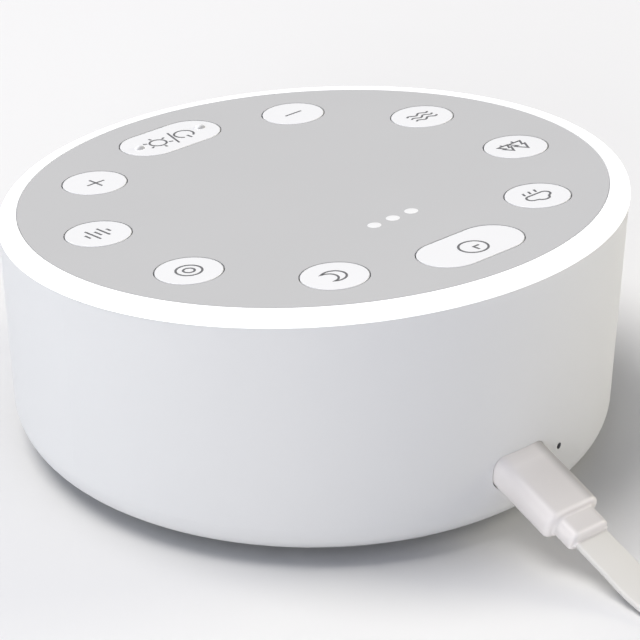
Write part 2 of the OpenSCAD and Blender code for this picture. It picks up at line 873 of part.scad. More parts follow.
module speaker_yoke() {
    color("silver") {
        translate([0, 0, yoke_z]) cylinder(d = magnet_d - 1, h = yoke_h);
        translate([0, 0, basket_top - 0.2]) cylinder(r = pole_r, h = yoke_z - basket_top + 0.7);
    }
}

// ---- wires inside ----

module wire_run(a, b, lift_a, lift_b) {
    steps = 14;
    start = a + wire_stub * unit(lift_a);
    end = b + wire_stub * unit(lift_b);
    bend = [
        for (k = [0 : steps]) bezier(start, start + lift_a, end + lift_b, end, k / steps)
    ];
    swept([for (p = concat([a], bend, [b])) [p.x, p.y, p.z, 0]], wire_r, wire_r, ref = [1, 0, 0]);
}

function board_down(l) = l * [0, sin(top_tilt), -cos(top_tilt)];
function port_up(l) = l * turned([0, sin(port_tilt), cos(port_tilt)]);
wire_end_z = board_low - plug_block.z;

module speaker_leads() {
    color("firebrick") for (s = [-1, 1] * wire_gap / 2) {
        wire_run(
            [solder_x, s, basket_top],
            tilted([speaker_plug.x, speaker_plug.y + s, wire_end_z]),
            [0, 0, wire_lift],
            board_down(wire_lift)
        );
    }
}

module power_leads() {
    color("firebrick") for (s = [-1, 1] * wire_gap / 2) {
        wire_run(
            port_point([s, usb_board_y1 + 1.4, usb_board_z + usb_board_t]),
            tilted([power_plug.x, power_plug.y + s, wire_end_z]),
            port_up(wire_lift),
            board_down(wire_lift)
        );
    }
}

// ---- USB socket ----

module usb_board() {
    color("seagreen") port_frame() difference() {
        translate([usb_board_x0, usb_board_y1, usb_board_z])
            cube([usb_board_w, usb_board_y0 - usb_board_y1, usb_board_t]);
        for (x = [reset_rib_x, socket_rib_x]) {
            translate([x, -rib_y, usb_board_z - 1]) cylinder(r = small_screw_r + 0.2, h = usb_board_t + 2);
        }
    }
}

module usb_socket() {
    color("silver") port_frame() {
        difference() {
            translate([0, -socket_front - socket_l, 0]) bar_y(socket_w, socket_t, 1.5, socket_l);
            translate([0, -socket_front - socket_l + 0.6, 0])
                bar_y(socket_w - 2 * sheet_t, socket_t - 2 * sheet_t, 1.3, socket_l);
        }
        translate([-3.3, -socket_front - socket_l, -0.35]) cube([6.6, 5.2, 0.7]);
    }
}

module reset_switch() {
    front_y = reset_button_y - 1.2;
    color("dimgray") port_frame() {
        translate([reset_local_x, front_y, usb_board_z]) {
            translate([-reset_switch_w / 2, -reset_switch_l, -reset_switch_h])
                cube([reset_switch_w, reset_switch_l, reset_switch_h]);
            translate([0, -0.5, -reset_drop])
                rotate([-90, 0, 0])
                    cylinder(r = reset_button_r, h = reset_button_y - front_y + 0.5, $fn = 32);
        }
    }
}

// ---- lead and plugs ----

module usb_c_plug() {
    color("snow") port_frame() {
        translate([0, -plug_seat, 0]) bar_y(plug_w, plug_t, plug_round, plug_seat + plug_l);
        translate([0, plug_l - 1, 0]) bar_y(neck_w, neck_t, neck_round, neck_l + 1);
    }
}

module usb_c_shell() {
    color("silver") port_frame() translate([0, -plug_seat - tongue_l, 0]) difference() {
        bar_y(tongue_w, tongue_t, 1.2, tongue_l);
        translate([0, -1, 0]) bar_y(tongue_w - 0.6, tongue_t - 0.6, 0.9, tongue_l);
    }
}

module cord_lead() {
    start = [
        for (d = [0, 4]) let (p = cord_exit + d * exit_dir) [p.x, p.y, p.z, 0]
    ];
    color("snow") swept(concat(start, lead_route), cord_w / 2, cord_t / 2, 0.5, 12);
}

module cord_coil() {
    low = edge_z - cord_w / 2;
    color("snow") translate([coil_c.x, coil_c.y, low]) rotate_extrude() {
        translate([coil_in_r - cord_t / 2, 0])
            square([coil_out_r - coil_in_r + cord_t, cord_w]);
    }
}

module cord_tie() {
    low = edge_z - cord_w / 2;
    inner = [coil_in_r - cord_t / 2 - 0.1, coil_out_r + cord_t / 2 + 0.1];
    color("gray") translate([coil_c.x, coil_c.y, 0]) rotate([0, 0, tie_a[0]])
        rotate_extrude(angle = tie_a[1] - tie_a[0]) difference() {
            translate([inner[0] - tie_t, 0])
                square([inner[1] - inner[0] + 2 * tie_t, low + cord_w + 0.1 + tie_t]);
            translate([inner[0], tie_t]) square([inner[1] - inner[0], low + cord_w + 0.1 - tie_t]);
        }
}

module cord_tail() {
    bend = [
        for (p = arc(tail_c, tail_r, tail_a, tail_end_a, 9)) [p.x, p.y, edge_z, -90]
    ];
    run = [
        for (t = [0.3, 0.6, 0.85, 1]) let (p = bend_end + t * tail_run * tail_dir)
            [p.x, p.y, edge_z + (usb_a_z - edge_z) * min(t / 0.8, 1), -90 * (1 - t)]
    ];
    color("snow") swept(concat(bend, run), cord_w / 2, cord_t / 2, 0.5, 12);
}

module usb_a_place(along) {
    start = usb_a_start + along * tail_dir;
    translate([start.x, start.y, usb_a_z]) rotate([0, 0, tail_end_a]) children();
}

module usb_a_plug() {
    color("snow") usb_a_place(0) bar_y(usb_a_w, usb_a_t, 2.2, usb_a_l);
}

module usb_a_shell() {
    color("silver") usb_a_place(usb_a_l) {
        difference() {
            bar_y(usb_a_shell_w, usb_a_shell_t, 0.5, usb_a_shell_l);
            translate([0, 1, 0])
                bar_y(usb_a_shell_w - 2 * usb_a_sheet, usb_a_shell_t - 2 * usb_a_sheet, 0.3, usb_a_shell_l);
            for (s = [-1, 1]) translate([(s * 5 - usb_a_window) / 2, usb_a_shell_l / 2, 0])
                cube([usb_a_window, usb_a_window, usb_a_shell_t]);
        }
        translate([usb_a_sheet - usb_a_shell_w / 2, 0.5, usb_a_sheet - usb_a_shell_t / 2])
            cube([usb_a_shell_w - 2 * usb_a_sheet, usb_a_shell_l - 1.5, usb_a_tongue_t]);
    }
}

housing();
base_plate();
feet();
base_screws();
top_panel();
panel_screws();
light_ring();
light_shield();
main_board();
board_screws();
ring_leds();
key_switches();
board_chips();
capacitors();
board_connectors();
for (i = [0 : key_places - 1]) {
    key_cap(i);
    plunger(i);
}
grille_mesh();
speaker_gasket();
speaker_frame();
speaker_screws();
speaker_surround();
speaker_cone();
dust_cap();
voice_coil();
speaker_spider();
speaker_top_plate();
speaker_magnet();
speaker_yoke();
speaker_leads();
usb_board();
usb_socket();
reset_switch();
power_leads();
usb_c_plug();
usb_c_shell();
cord_lead();
cord_coil();
cord_tie();
cord_tail();
usb_a_plug();
usb_a_shell();
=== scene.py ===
# %% [markdown]
# # A white noise sound machine, dressed in Blender
# The machine is a low drum of white plastic. Its top slopes towards the user and carries a
# grey keypad, and a milky ring around the keypad glows. The CAD model already holds every
# rigid shape at its real size, so this lesson loads it, gives each piece a finish, and models
# what CAD left plain: the lead, its tie, the grips of its two plugs and the marks on the keys.

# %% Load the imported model
import json
import math

import bmesh
import bpy
from mathutils import Matrix, Vector


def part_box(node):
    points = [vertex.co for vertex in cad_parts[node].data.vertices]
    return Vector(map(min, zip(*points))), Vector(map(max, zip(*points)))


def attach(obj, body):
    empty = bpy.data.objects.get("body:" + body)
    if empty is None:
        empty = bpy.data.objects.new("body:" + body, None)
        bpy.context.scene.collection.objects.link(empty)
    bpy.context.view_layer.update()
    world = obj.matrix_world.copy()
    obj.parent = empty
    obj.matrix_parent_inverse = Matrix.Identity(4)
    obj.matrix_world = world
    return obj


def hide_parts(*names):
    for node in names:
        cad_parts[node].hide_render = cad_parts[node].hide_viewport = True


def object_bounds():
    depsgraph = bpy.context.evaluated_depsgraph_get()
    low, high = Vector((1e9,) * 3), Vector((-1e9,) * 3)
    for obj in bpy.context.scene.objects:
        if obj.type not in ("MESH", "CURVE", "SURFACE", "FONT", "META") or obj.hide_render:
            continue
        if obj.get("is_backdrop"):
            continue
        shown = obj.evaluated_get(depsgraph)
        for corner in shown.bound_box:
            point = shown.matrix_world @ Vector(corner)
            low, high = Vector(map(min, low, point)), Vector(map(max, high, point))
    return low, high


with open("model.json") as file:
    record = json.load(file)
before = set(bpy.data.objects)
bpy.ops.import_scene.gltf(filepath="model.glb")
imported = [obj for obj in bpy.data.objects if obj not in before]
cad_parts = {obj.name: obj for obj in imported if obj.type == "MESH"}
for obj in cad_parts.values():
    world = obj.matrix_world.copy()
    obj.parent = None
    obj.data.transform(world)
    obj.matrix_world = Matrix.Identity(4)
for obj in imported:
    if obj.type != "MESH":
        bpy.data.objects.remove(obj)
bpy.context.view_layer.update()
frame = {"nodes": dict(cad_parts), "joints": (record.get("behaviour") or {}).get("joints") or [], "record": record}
nodes = frame["nodes"]
MM = 0.001
scene = bpy.context.scene

# %% [markdown]
# ## The camera
# The machine is seen from behind and a little above, from about half a metre with a long
# lens. A camera is easiest to place by what it aims at: an azimuth, an elevation and a
# distance give its seat, and one quaternion turns it back towards the aim.

# %% Place the camera
view_azimuth = math.radians(138.52)
view_elevation = math.radians(27.335)
view_distance = 549.5 * MM
view_aim = Vector((-0.6, 1.4, 20)) * MM
view_lens = 167.47


def direction(azimuth, elevation):
    """Unit vector from the object towards a viewer or lamp; azimuth 0 is the user's side."""
    flat = math.cos(elevation)
    return Vector((math.sin(azimuth) * flat, -math.cos(azimuth) * flat, math.sin(elevation)))


camera = bpy.data.objects.new("camera", bpy.data.cameras.new("camera"))
scene.collection.objects.link(camera)
scene.camera = camera
camera.data.lens = view_lens
camera.data.clip_start = 0.01
backwards = direction(view_azimuth, view_elevation)
camera.location = view_aim + backwards * view_distance
camera.rotation_mode = "QUATERNION"
camera.rotation_quaternion = (-backwards).to_track_quat("-Z", "Y")
print("camera in mm:", [round(x / MM, 1) for x in camera.location])

# %% [markdown]
# ## A small language for shader maths
# A finish is a formula: speckle times depth, one minus a mask. Blender writes formulas as
# boxes and wires, which are long to spell out. This class wraps one output socket and
# overloads Python's operators, so that the formula can be written as it is read.

# %% Wrap a socket
class Wire:
    """One output socket of a shader node, which can stand in an expression."""

    def __init__(self, finish, socket):
        self.finish = finish
        self.socket = socket

    def math(self, operation, other=0.0, reflected=False):
        values = [other, self] if reflected else [self, other]
        return self.finish.node("ShaderNodeMath", {"operation": operation}, values)

    def __add__(self, other):
        return self.math("ADD", other)

    def __radd__(self, other):
        return self.math("ADD", other, reflected=True)

    def __sub__(self, other):
        return self.math("SUBTRACT", other)

    def __rsub__(self, other):
        return self.math("SUBTRACT", other, reflected=True)

    def __mul__(self, other):
        return self.math("MULTIPLY", other)

    def __rmul__(self, other):
        return self.math("MULTIPLY", other, reflected=True)

    def __gt__(self, other):
        return self.math("GREATER_THAN", other)

    def __lt__(self, other):
        return self.math("LESS_THAN", other)

    def clamped(self, low=0.0, high=1.0):
        return self.math("MAXIMUM", low).math("MINIMUM", high)

    def smooth(self):
        """A share from 0 to 1 that starts and ends gently."""
        share = self.clamped()
        return share * share * (3 - 2 * share)


# %% [markdown]
# ## A finish under construction
# Each material starts as a Principled shader with its constants set on its own sockets.
# One method, node(), makes every other box: settings first, then values or wires. The rest
# are short words for patterns that come back: where a point is, speckle, waves, a mixture of
# two colours, and a bump.

# %% Build finishes
class Finish:
    """A material that is being built around one Principled shader."""

    def __init__(self, name, colour, roughness, metallic=0.0, **constants):
        self.material = bpy.data.materials.new(name)
        self.material.use_nodes = True
        self.tree = self.material.node_tree
        self.shader = self.tree.nodes["Principled BSDF"]
        self.colour = (*colour, 1.0)
        self.set("Base Color", self.colour)
        self.set("Roughness", roughness)
        self.set("Metallic", metallic)
        for name, value in constants.items():
            self.set(name.replace("_", " ").title().replace("Ior", "IOR"), value)
        self.material.diffuse_color = self.colour

    def node(self, kind, settings=None, values=(), output=0):
        made = self.tree.nodes.new(kind)
        for key, value in (settings or {}).items():
            setattr(made, key, value)
        pairs = values.items() if isinstance(values, dict) else enumerate(values)
        for key, value in pairs:
            self.connect(made.inputs[key], value)
        return Wire(self, made.outputs[output])

    def connect(self, socket, value):
        if isinstance(value, Wire):
            self.tree.links.new(value.socket, socket)
        else:
            socket.default_value = value

    def set(self, name, value):
        self.connect(self.shader.inputs[name], value)

    def place(self):
        """Where the point is in the object, in metres."""
        return self.node("ShaderNodeTexCoord", output="Object")

    def axes(self):
        """The point's x, y and z as three wires."""
        split = self.node("ShaderNodeSeparateXYZ", values=[self.place()])
        outputs = split.socket.node.outputs
        return [Wire(self, outputs[name]) for name in ("X", "Y", "Z")]

    def along(self, vector, heading):
        """How far a vector reaches in a heading."""
        settings = {"operation": "DOT_PRODUCT"}
        return self.node("ShaderNodeVectorMath", settings, [vector, tuple(heading)], output=1)

    def speckle(self, size, detail=2.0, stretch=(1, 1, 1)):
        """Soft noise from 0 to 1 whose grains are about that size."""
        stretched = self.node(
            "ShaderNodeVectorMath", {"operation": "MULTIPLY"}, [self.place(), stretch]
        )
        values = {"Vector": stretched, "Scale": 1 / size, "Detail": detail}
        return self.node("ShaderNodeTexNoise", values=values)

    def waves(self, along, pitch):
        """A wave from -1 to 1 that repeats at that pitch."""
        return (along * (math.tau / pitch)).math("SINE")

    def mix(self, share, first, second):
        """A colour that goes from the first to the second as share goes from 0 to 1."""
        ends = [end if isinstance(end, Wire) else (*end, 1.0) for end in (first, second)]
        sockets = {0: share, 6: ends[0], 7: ends[1]}
        return self.node("ShaderNodeMix", {"data_type": "RGBA"}, sockets, output=2)

    def bump(self, height, depth):
        values = {"Height": height, "Distance": depth, "Strength": 1.0}
        self.set("Normal", self.node("ShaderNodeBump", values=values))


def shade(colour, share):
    """The colour made lighter or darker by a share of itself."""
    return tuple(min(1.0, part * (1 + share)) for part in colour)


# %% [markdown]
# ## Moulded plastic
# A mould is spark-eroded, so a matte moulding has grains of about a fifth of a millimetre,
# a gloss that changes a little from place to place, and hardly any change of colour. The
# same recipe makes the shell, the base, the panel and the keys: only the numbers differ.

# %% Plastics
cloud_size, cloud_tint = 18 * MM, 0.008
grain_gloss, cloud_gloss = 0.12, 0.04


def clouded(made, colour):
    """A broad cloud, and the colour that it makes a hair darker and lighter."""
    cloud = made.speckle(cloud_size, detail=1.0)
    return cloud, made.mix(cloud, shade(colour, -cloud_tint), shade(colour, cloud_tint))


def moulded(name, colour, roughness, grain=0.22 * MM, depth=0.004 * MM):
    made = Finish(name, colour, roughness)
    cloud, tinted = clouded(made, colour)
    fine = made.speckle(grain)
    gloss = (fine - 0.5) * grain_gloss + (cloud - 0.5) * cloud_gloss
    made.set("Base Color", tinted)
    made.set("Roughness", gloss + roughness)
    made.bump(fine, depth)
    return made


print("a cloud in the plastic is", cloud_size / MM, "mm wide")

# %% [markdown]
# The shell, the panel, the keys and the plugs each have a white or grey of their own. The
# keys and the plugs come back later, in copies with a little wear, so their recipes are
# functions. Parts that nobody sees get plain plastics with the same grain.

# %% Colours of the plastics
shell_white = (0.815, 0.815, 0.82)
panel_grey = (0.575, 0.575, 0.58)
key_white = (0.925, 0.925, 0.935)
plug_white = (0.84, 0.805, 0.795)
cord_white = (0.695, 0.68, 0.655)


def key_plastic(name):
    return moulded(name, key_white, 0.5, grain=0.14 * MM, depth=0.002 * MM)


def plug_plastic(name):
    return moulded(name, plug_white, 0.42, grain=0.3 * MM, depth=0.002 * MM)


finishes = {
    "shell_white": moulded("shell_white", shell_white, 0.62),
    "base_white": moulded("base_white", shade(shell_white, -0.02), 0.68, depth=0.006 * MM),
    "inner_white": moulded("inner_white", (0.82, 0.82, 0.8), 0.6),
    "panel_grey": moulded("panel_grey", panel_grey, 0.66, grain=0.16 * MM),
    "key_white": key_plastic("key_white"),
    "part_black": moulded("part_black", (0.02, 0.02, 0.022), 0.42),
    "plug_white": plug_plastic("plug_white"),
    "cord_white": moulded("cord_white", cord_white, 0.5, grain=0.35 * MM, depth=0.003 * MM),
    "wire_red": moulded("wire_red", (0.5, 0.02, 0.015), 0.4),
}
print(len(finishes), "plastics")

# %% [markdown]
# ## The sloping top
# The top leans a few degrees towards the user. The keys travel square to it, and the frame
# gives that direction, so the slope comes from there. Turned back by the slope, a piece of
# the top is level, and its plain box says how high and how wide it is.

# %% Measure the slope
press = Vector(frame["joints"][0]["axis"]).normalized()
slope = math.atan2(press.y, -press.z)
lean = Matrix.Rotation(slope, 4, "X")


def leaning_points(name):
    """A node's vertices in the sloping frame, where the top is level."""
    return [lean.inverted() @ vertex.co for vertex in nodes[name].data.vertices]


def box_of(points):
    low = Vector([min(point[i] for point in points) for i in range(3)])
    high = Vector([max(point[i] for point in points) for i in range(3)])
    return low, high


def leaning_box(name):
    return box_of(leaning_points(name))


panel_low, panel_high = leaning_box("top_panel")
panel_middle, panel_radius = (panel_low + panel_high) / 2, (panel_high.x - panel_low.x) / 2
print("slope of the top:", round(math.degrees(slope), 2), "degrees")

# %% [markdown]
# ## The glowing ring
# The ring is milky plastic in front of twenty lamps. From outside it looks evenly lit, so
# the shader gives off its own light: full white to the eye, with the faintest rise above
# each lamp. The lamps lie around a circle, so the rise is a wave of the angle. In the last
# millimetre before the panel no lamp is behind it, so it is dimmer there. That share is a
# smooth step of the distance from the middle, measured in the plane of the sloping top.

# %% Glow
ring_lamps, lamp_rise = 20, 0.02
dim_width, dim_white, lit_at_edge = 1.3 * MM, (0.8, 0.8, 0.8), 0.3
milk_white, milk_cloud, milk_cloud_size = (0.95, 0.95, 0.95), 0.03, 9 * MM
dark, glow_white, glow_strength = (0.0, 0.0, 0.0), (0.98, 0.99, 1.0), 0.6


def glowing(name):
    made = Finish(name, milk_white, 0.45)
    x, y, z = made.axes()
    angle = y.math("ARCTAN2", x)
    rise = made.waves(angle, math.tau / ring_lamps) * lamp_rise
    across = y * math.cos(slope) + z * math.sin(slope) - panel_middle.y
    reach = (x * x + across * across).math("SQRT")
    lit = ((reach - panel_radius) * (1 / dim_width) + lit_at_edge).smooth()
    cloud = made.speckle(milk_cloud_size) * milk_cloud
    made.set("Base Color", made.mix(lit - cloud, dim_white, milk_white))
    made.set("Emission Color", made.mix(lit - rise, dark, glow_white))
    made.set("Emission Strength", glow_strength)
    return made


finishes["ring_diffuser"] = glowing("ring_diffuser")
finishes["led_white"] = glowing("led_white")
print("lamps behind the ring:", ring_lamps)

# %% [markdown]
# ## Rubber, foam and cloth
# Soft materials are dull, and what tells them apart is their structure. Rubber has fine dust
# and mould grain, foam has open cells, and cloth has threads that cross over and under. A
# weave is two waves at right angles: where one is high, the other thread lies on top.

# %% Soft finishes
def rubber(name, colour, roughness=0.8, dust_size=1.4 * MM, grain_size=0.12 * MM):
    made = Finish(name, colour, roughness)
    dust = made.speckle(dust_size, detail=4.0)
    grain = made.speckle(grain_size)
    made.set("Base Color", made.mix(dust, shade(colour, -0.15), shade(colour, 0.15)))
    made.set("Roughness", dust * 0.16 + (roughness - 0.08))
    made.bump(grain, 0.01 * MM)
    return made


def foam(name, colour, cell_size=0.5 * MM):
    made = Finish(name, colour, 0.95)
    values = {"Vector": made.place(), "Scale": 1 / cell_size}
    cells = made.node("ShaderNodeTexVoronoi", values=values)
    made.set("Base Color", made.mix(cells, shade(colour, -0.7), shade(colour, 0.6)))
    made.bump(cells, 0.08 * MM)
    return made


def woven(name, colour, pitch, roughness=0.85):
    made = Finish(name, colour, roughness)
    x, y, z = made.axes()
    over = made.waves(x + z, 2 * pitch) * made.waves(y, 2 * pitch)
    fuzz = made.speckle(0.3 * pitch)
    threads = over * 0.5 + 0.5
    made.set("Base Color", made.mix(threads, shade(colour, -0.45), shade(colour, 0.35)))
    made.set("Roughness", fuzz * 0.1 + (roughness - 0.05))
    made.bump(threads + fuzz * 0.4, 0.1 * pitch)
    return made


finishes["foot_rubber"] = rubber("foot_rubber", (0.33, 0.33, 0.34))
finishes["surround_rubber"] = rubber("surround_rubber", (0.02, 0.02, 0.02), 0.6)
finishes["foam_black"] = foam("foam_black", (0.03, 0.03, 0.03))
finishes["mesh_black"] = woven("mesh_black", (0.025, 0.025, 0.027), 0.5 * MM)
finishes["spider_cloth"] = woven("spider_cloth", (0.45, 0.3, 0.1), 0.4 * MM)
finishes["tie_grey"] = woven("tie_grey", (0.38, 0.38, 0.39), 0.55 * MM, 0.95)
print("soft finishes:", list(finishes)[-6:])

# %% [markdown]
# ## Metals, paper and boards
# Metal reflects its surroundings, so its finish lies in how rough it is and in which
# direction. Brushed steel is streaked one way, a ferrite magnet is a dull sintered stone, and
# wound wire is a wave of fine ridges. A circuit board has a glossy green lacquer whose
# copper tracks show through as straight, slightly raised lines.

# %% Hard finishes
def metal(name, colour, roughness, stretch=(1, 1, 14), streak=0.12 * MM):
    made = Finish(name, colour, roughness, metallic=1.0)
    streaks = made.speckle(streak, detail=3.0, stretch=stretch)
    made.set("Roughness", streaks * 0.2 + (roughness - 0.1))
    made.set("Base Color", made.mix(streaks, shade(colour, -0.06), shade(colour, 0.05)))
    made.bump(streaks, 0.002 * MM)
    return made


def stone(name, colour, roughness, grain_size=0.4 * MM):
    made = Finish(name, colour, roughness)
    grains = made.speckle(grain_size, detail=5.0)
    made.set("Base Color", made.mix(grains, shade(colour, -0.3), shade(colour, 0.5)))
    made.bump(grains, 0.03 * MM)
    return made


def wound(name, colour, pitch):
    made = Finish(name, colour, 0.3, metallic=1.0)
    height = made.axes()[2]
    ridges = made.waves(height, pitch) * 0.5 + 0.5
    made.set("Base Color", made.mix(ridges, shade(colour, -0.5), colour))
    made.bump(ridges, 0.3 * pitch)
    return made


def board(name, lacquer, pitch=(2.4 * MM, 3.6 * MM), crest=(0.86, 0.9)):
    made = Finish(name, lacquer, 0.3)
    x, y = made.axes()[:2]
    tracks = (made.waves(x, pitch[0]) > crest[0]) + (made.waves(y, pitch[1]) > crest[1])
    made.set("Base Color", made.mix(tracks.math("MINIMUM", 1.0), lacquer, shade(lacquer, 0.9)))
    made.bump(tracks, 0.02 * MM)
    return made


finishes["steel"] = metal("steel", (0.62, 0.62, 0.63), 0.34)
finishes["plated_steel"] = metal("plated_steel", (0.74, 0.73, 0.7), 0.2, stretch=(1, 1, 1))
finishes["capacitor_can"] = metal("capacitor_can", (0.66, 0.67, 0.69), 0.28)
finishes["basket_grey"] = metal("basket_grey", (0.18, 0.18, 0.19), 0.5, stretch=(1, 1, 1))
finishes["magnet_dark"] = stone("magnet_dark", (0.045, 0.045, 0.05), 0.75)
finishes["cone_paper"] = stone("cone_paper", (0.06, 0.06, 0.065), 0.9)
finishes["coil_copper"] = wound("coil_copper", (0.75, 0.36, 0.18), 0.2 * MM)
finishes["board_green"] = board("board_green", (0.02, 0.16, 0.06))
print("finishes so far:", len(finishes))

# %% [markdown]
# ## Dress the CAD pieces
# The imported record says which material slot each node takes. The finishes carry the slots'
# names, so one loop dresses all of them, and each node keeps its mesh as the CAD made it.

# %% Give every node its finish
recorded_slots = set()
for part in frame["record"]["subparts"]:
    recorded_slots.add(part["material_slot"])
    node = nodes[part["node"]]
    node.data.materials.clear()
    node.data.materials.append(finishes[part["material_slot"]].material)
print("dressed", len(nodes), "nodes")

# %% [markdown]
# The shell has one small thing of its own: a pinhole beside the port, for the reset button. No light reaches its
# wall, so the shell's colour there is painted dark grey, a painted shade as dark as the hole looks. The hole
# points at the middle of the machine, and what counts is a point's distance from the hole's axis.

# %% Paint shade into the pinhole
pinhole_x, pinhole_height, pinhole_radius = -9.3, 12.89, 0.6
pinhole_reach, pinhole_play = 55.6, 0.01
pinhole_painted_shade = (0.22, 0.22, 0.225)


def paint_pinhole_shade(made):
    x, y, z = made.axes()
    turn = math.asin(pinhole_x / pinhole_reach)
    aside = x * math.cos(turn) - y * math.sin(turn)
    above = z - pinhole_height * MM
    away = (aside * aside + above * above).math("SQRT")
    hole = (away < (pinhole_radius + pinhole_play) * MM) * (y > 0.0)
    plain = clouded(made, shell_white)[1]
    # Painted shade: the hole's wall gets dark grey instead of the shell's white.
    made.set("Base Color", made.mix(hole, plain, pinhole_painted_shade))


paint_pinhole_shade(finishes["shell_white"])
print("pinhole is", 2 * pinhole_radius, "mm wide")

# %% [markdown]
# ## One way to make a mesh piece
# Every modelled piece goes through one helper: it builds the mesh, shades it smooth except
# at true edges, gives it its finish and lets it ride on the body that carries it.

# %% Make pieces
def piece(name, points, faces, slot, body="base", crease=35):
    mesh = bpy.data.meshes.new(name)
    mesh.from_pydata([tuple(point) for point in points], [], faces)
    shape = bmesh.new()
    shape.from_mesh(mesh)
    bmesh.ops.recalc_face_normals(shape, faces=shape.faces)
    for edge in shape.edges:
        edge.smooth = len(edge.link_faces) < 2 or edge.calc_face_angle() < math.radians(crease)
    shape.to_mesh(mesh)
    shape.free()
    mesh.shade_smooth()
    made = bpy.data.objects.new(name, mesh)
    scene.collection.objects.link(made)
    mesh.materials.append(finishes[slot].material)
    slot in recorded_slots
    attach(made, body)
    return made


def skin(rings):
    """Points and faces of a closed skin over rings with the same number of points each."""
    count = len(rings[0])
    points = [point for ring in rings for point in ring]
    faces = []
    for i in range(len(rings) - 1):
        for k in range(count):
            n = (k + 1) % count
            faces.append((i * count + k, i * count + n, (i + 1) * count + n, (i + 1) * count + k))
    faces.append(tuple(range(count)))
    faces.append(tuple((len(rings) - 1) * count + k for k in reversed(range(count))))
    return points, faces


def rounded_outline(width, height, radius, steps=6):
    """A rounded rectangle around the origin, counter-clockwise."""
    outline = []
    for corner, (sx, sy) in enumerate([(1, 1), (-1, 1), (-1, -1), (1, -1)]):
        for k in range(steps + 1):
            angle = math.radians(90 * (corner + k / steps))
            x = sx * (width / 2 - radius) + radius * math.cos(angle)
            outline.append((x, sy * (height / 2 - radius) + radius * math.sin(angle)))
    return outline


print("a rounded outline has", len(rounded_outline(width=2, height=1, radius=0.3)), "points")

# %% [markdown]
# ## The lead
# The lead is a flat cable, over seven millimetres wide. It leaves its plug straight, comes
# down to the table and then turns onto its edge, because a flat cable can only coil on edge.
# The route's points are listed, as (x, y, z, roll in degrees), and a loop works out the coil. The shape could be a
# curve with a profile, but a swept mesh lets the cable twist as it should.

# %% Route of the lead
port = next(mount for mount in frame["record"]["mounts"] if mount["name"] == "usb_port")
port_mouth = Vector(port["pos_m"]) / MM
port_out = Vector(port["axis"]).normalized()
port_side = Vector((port_out.y, -port_out.x, 0)).normalized()
port_up = port_side.cross(port_out)
grip_length, neck_length, grip_seat = 14.0, 4.5, 2.0
cord_exit = port_mouth + port_out * (grip_length + neck_length)
cord_width, cord_thickness, cord_length = 7.4, 1.2, 1200.0
table_play = 0.04
on_edge = cord_width / 2 + table_play
lead_route = [
    (1.66, 84, 2.6, 0), (1.73, 87.5, 1.6, 0), (1.83, 91, 1, 0), (2, 94.5, 0.77, 0),
    (2.35, 98, 0.72, 0), (2.8, 101, 1.25, -8), (3.4, 104.5, 2.2, -24), (3.85, 108, 3, -45),
    (4, 111.5, 3.55, -66), (3.7, 115, on_edge, -82), (3.2, 118.5, on_edge, -90),
]
coil_out, turn_pitch, turns = 47.0, 2.7, 4.125
coil_start = Vector((2.8, 122))
coil_centre = coil_start - Vector((coil_out, 0))
coil_in = coil_out - turn_pitch * turns
tail_radius, tail_bend, tail_run = 18.0, 135.0, 12.5
tie_middle, tie_half, tie_thickness, tie_play = 150.0, 7.0, 0.6, 0.1
print("coil from", round(coil_in, 1), "to", coil_out, "mm around", tuple(coil_centre))

# %% [markdown]
# The coil is a flat spiral: each turn lies a little further in than the last one. Under the
# turns runs the tie, so they rise over it by its thickness. The tail bends away from the
# innermost turn, rolls level again and ends at the height of the far plug's middle.

# %% Wind the coil
def around(centre, radius, degrees):
    angle = math.radians(degrees)
    return centre + radius * Vector((math.cos(angle), math.sin(angle)))


def lift_at(degrees):
    """How far the turns rise over the tie, which passes under them."""
    away = abs((degrees - tie_middle + 180) % 360 - 180)
    share = max(0.0, min(1.0, (3 * tie_half - away) / (2 * tie_half)))
    return (tie_thickness + tie_play) * share * share * (3 - 2 * share)


def coil_points(per_turn=40):
    made = []
    for step in range(1, int(per_turn * turns) + 1):
        degrees = 360 * step / per_turn
        spot = around(coil_centre, coil_out - turn_pitch * degrees / 360, degrees)
        made.append((*spot, on_edge + lift_at(degrees % 360), -90))
    return made


def tail_points(bends=9, run_shares=(0.3, 0.6, 0.85, 1.0), level_by=0.8):
    """A bend away from the inner turn, then a short straight run into the far plug."""
    start = 360 * (turns % 1)
    end = start + tail_bend
    centre = around(coil_centre, coil_in - tail_radius, start)
    made = [(*around(centre, tail_radius, start + k * tail_bend / bends), on_edge, -90)
            for k in range(1, bends + 1)]
    bend_end, heading = around(centre, tail_radius, end), around(Vector((0, 0)), 1, end + 90)
    for share in run_shares:
        spot = bend_end + heading * (tail_run * share)
        rise = (usb_a_middle.z - on_edge) * min(share / level_by, 1)
        made.append((*spot, on_edge + rise, -90 * (1 - share)))
    return made


usb_a_low, usb_a_high = (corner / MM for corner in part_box("usb_a_plug"))
usb_a_size, usb_a_middle = usb_a_high - usb_a_low, (usb_a_low + usb_a_high) / 2
first_run = [(*(cord_exit + port_out * d), 0) for d in (0, 4, 8)]
route = first_run + lead_route + coil_points() + tail_points()
print("route of the lead:", len(route), "points")

# %% [markdown]
# A cable has no corners, so the listed points are joined by a smooth curve through them. The same curve carries
# the roll angle. The section is a flat bar with round edges, and at each point it stands square to the curve.

# %% Sweep the lead
def smooth(points, steps):
    """Catmull-Rom curve through points of any number of coordinates."""
    padded = [points[0], *points, points[-1]]
    made = []
    for a, b, c, d in zip(padded, padded[1:], padded[2:], padded[3:]):
        for k in range(steps):
            t = k / steps
            made.append(tuple(
                0.5 * (2 * q + (r - p) * t + (2 * p - 5 * q + 4 * r - s) * t * t
                       + (3 * q - p - 3 * r + s) * t ** 3)
                for p, q, r, s in zip(a, b, c, d)
            ))
    return made + [points[-1]]


